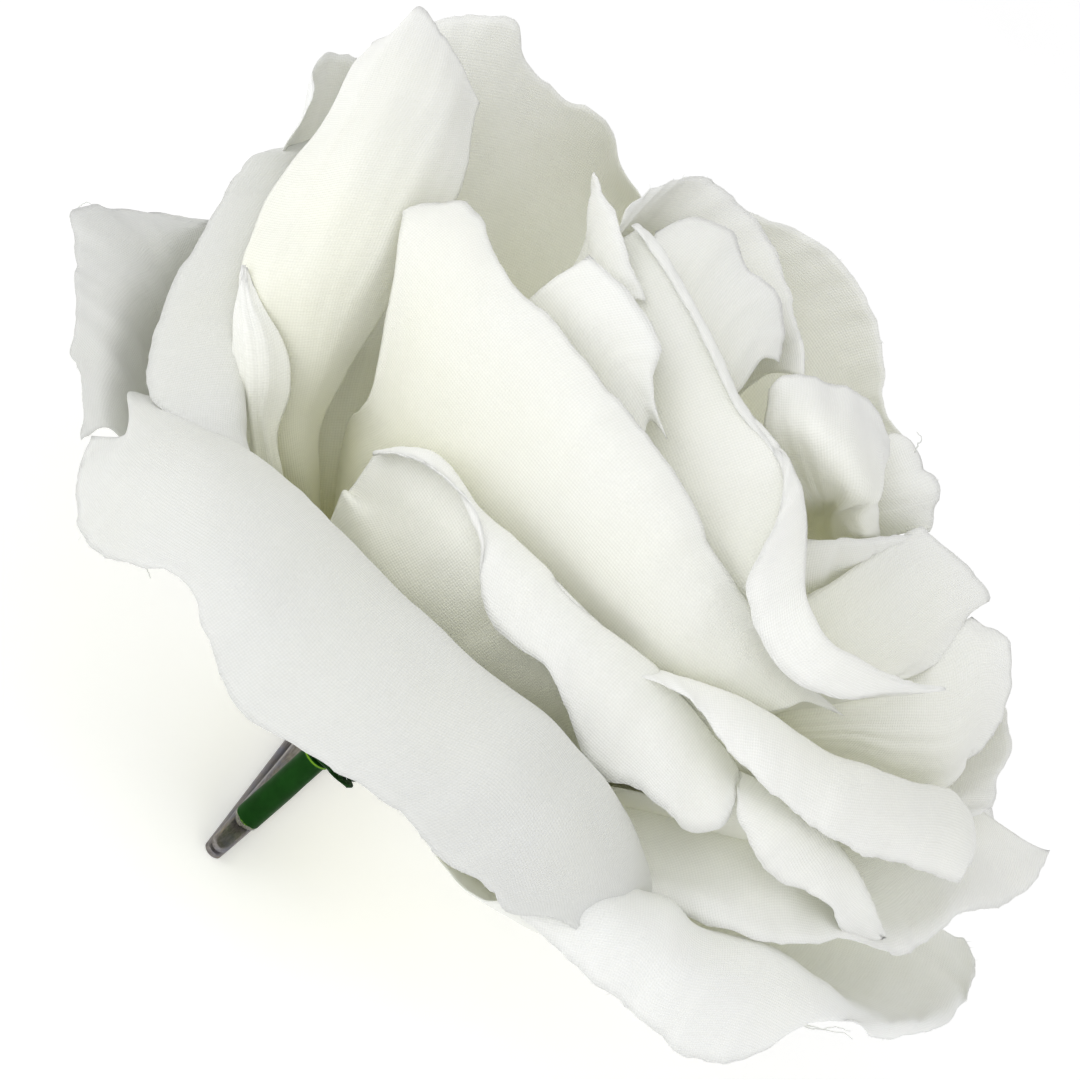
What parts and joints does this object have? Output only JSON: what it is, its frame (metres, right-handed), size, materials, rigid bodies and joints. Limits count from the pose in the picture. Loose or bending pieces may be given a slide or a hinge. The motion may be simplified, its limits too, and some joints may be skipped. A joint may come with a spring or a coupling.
{
  "type": "flower hair clip",
  "caption": "Large open fabric rose on a short plastic stem, hot-glued across a spring alligator clip whose two jaws grip a lock of hair.",
  "frame": {"origin": "on the flat underside of the clip's hair-side jaw, below the flower's axis", "axes": "+Z along the flower's axis, face up; the clip lies along Y, nose towards -Y and thumb levers towards +Y; the hinge pin runs along X"},
  "size_m": [0.1249, 0.1201, 0.0933],
  "materials": {
    "ivory_cloth": "heat-pressed polyester cloth, matt, slightly translucent, white at the margins and cream towards the root",
    "stem_green": "moulded polyethylene, slightly glossy",
    "calyx_green": "moulded polyethylene, satin",
    "foam": "plain moulded core, hidden",
    "gunmetal": "black-nickel plated sheet steel, satin",
    "pin_steel": "plated steel",
    "spring_steel": "drawn spring wire",
    "hot_glue": "cloudy hot-melt adhesive"
  },
  "bodies": {
    "hair_side": {"clip_hair_side_jaw": "gunmetal", "clip_pivot_pin": "pin_steel"},
    "flower_side": {"clip_flower_side_jaw": "gunmetal", "clip_torsion_spring": "spring_steel", "glue_bead": "hot_glue", "stem_tube": "stem_green", "stem_wire": "spring_steel", "calyx": "calyx_green", "bud_core": "foam", "petal_outer_front": "ivory_cloth", "petal_outer_front_right": "ivory_cloth", "petal_outer_far_left": "ivory_cloth", "petal_outer_back_right": "ivory_cloth", "petal_outer_back": "ivory_cloth", "petal_outer_back_left": "ivory_cloth", "petal_second_left": "ivory_cloth", "petal_second_right": "ivory_cloth", "petal_second_back_left": "ivory_cloth", "petal_second_back_right": "ivory_cloth", "petal_second_back": "ivory_cloth", "petal_third_left": "ivory_cloth", "petal_third_front_left": "ivory_cloth", "petal_third_front_right": "ivory_cloth", "petal_third_right": "ivory_cloth", "petal_third_front": "ivory_cloth", "petal_fourth_front_right": "ivory_cloth", "petal_fourth_left": "ivory_cloth", "petal_fourth_right": "ivory_cloth", "petal_fourth_back_left": "ivory_cloth", "petal_cup_front": "ivory_cloth", "petal_cup_front_left": "ivory_cloth", "petal_cup_left": "ivory_cloth", "petal_cup_right": "ivory_cloth", "petal_bud_front": "ivory_cloth", "petal_bud_back": "ivory_cloth", "petal_bud_left": "ivory_cloth", "petal_bud_hood": "ivory_cloth", "petal_bud_inner_left": "ivory_cloth", "petal_bud_inner_right": "ivory_cloth", "petal_bud_centre": "ivory_cloth"}
  },
  "joints": [
    {"name": "clip_hinge", "type": "hinge", "parent": "hair_side", "child": "flower_side", "pos_m": [0, 0.031, 0.004], "axis": [-1, 0, 0], "range_deg": [0, 30], "stiffness_Nm_per_rad": 0.2, "springref_deg": -28.65, "deforming": ["clip_torsion_spring"]}
  ]
}
